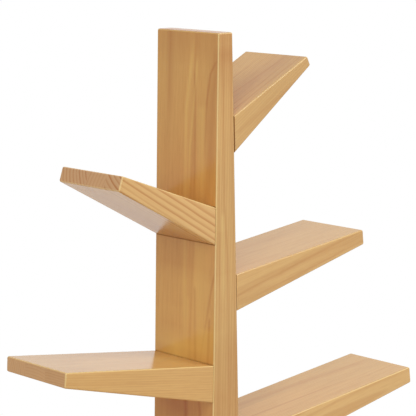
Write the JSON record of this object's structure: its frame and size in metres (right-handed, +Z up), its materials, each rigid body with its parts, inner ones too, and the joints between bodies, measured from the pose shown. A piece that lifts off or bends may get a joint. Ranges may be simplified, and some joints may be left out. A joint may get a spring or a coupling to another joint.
{
  "type": "tree shaped bookcase",
  "caption": "Free-standing bookcase in solid pine: a tapered trunk on a flat base board, with wedge shaped shelves that branch off to the left and right.",
  "frame": {"origin": "on the floor under the middle of the trunk and base board", "axes": "+Z up; the front, which the picture shows at a slant from its left, faces -Y; +X is the right-hand side seen from the front"},
  "size_m": [1.006, 0.28, 1.25],
  "materials": {
    "trunk_pine": "edge-glued pine under clear semi-gloss lacquer",
    "shelf_pine": "edge-glued pine under clear semi-gloss lacquer",
    "base_pine": "edge-glued pine under clear semi-gloss lacquer",
    "beech": "raw beech",
    "steel": "zinc plated",
    "zinc": "die-cast zinc",
    "cover_plastic": "wood coloured, satin",
    "felt": "pressed felt"
  },
  "bodies": {
    "root": {"base_board": "base_pine", "base_screw_1": "steel", "base_screw_2": "steel", "base_screw_3": "steel", "base_screw_4": "steel", "base_dowel_1": "beech", "base_dowel_2": "beech", "foot_pad_1": "felt", "foot_pad_2": "felt", "foot_pad_3": "felt", "foot_pad_4": "felt", "trunk": "trunk_pine", "right_shelf_1": "shelf_pine", "right_shelf_1_dowel_front": "beech", "right_shelf_1_dowel_middle": "beech", "right_shelf_1_connecting_bolt": "steel", "right_shelf_1_cam_lock": "zinc", "right_shelf_1_cam_cover": "cover_plastic", "left_shelf_1": "shelf_pine", "left_shelf_1_dowel_front": "beech", "left_shelf_1_dowel_middle": "beech", "left_shelf_1_connecting_bolt": "steel", "left_shelf_1_cam_lock": "zinc", "left_shelf_1_cam_cover": "cover_plastic", "right_shelf_2": "shelf_pine", "right_shelf_2_dowel_front": "beech", "right_shelf_2_dowel_middle": "beech", "right_shelf_2_connecting_bolt": "steel", "right_shelf_2_cam_lock": "zinc", "right_shelf_2_cam_cover": "cover_plastic", "left_shelf_2": "shelf_pine", "left_shelf_2_dowel_front": "beech", "left_shelf_2_dowel_middle": "beech", "left_shelf_2_connecting_bolt": "steel", "left_shelf_2_cam_lock": "zinc", "left_shelf_2_cam_cover": "cover_plastic", "right_shelf_3": "shelf_pine", "right_shelf_3_dowel_front": "beech", "right_shelf_3_dowel_middle": "beech", "right_shelf_3_connecting_bolt": "steel", "right_shelf_3_cam_lock": "zinc", "right_shelf_3_cam_cover": "cover_plastic", "left_shelf_3": "shelf_pine", "left_shelf_3_dowel_front": "beech", "left_shelf_3_dowel_middle": "beech", "left_shelf_3_connecting_bolt": "steel", "left_shelf_3_cam_lock": "zinc", "left_shelf_3_cam_cover": "cover_plastic", "right_shelf_4": "shelf_pine", "right_shelf_4_dowel_front": "beech", "right_shelf_4_dowel_middle": "beech", "right_shelf_4_connecting_bolt": "steel", "right_shelf_4_cam_lock": "zinc", "right_shelf_4_cam_cover": "cover_plastic"}
  },
  "joints": []
}
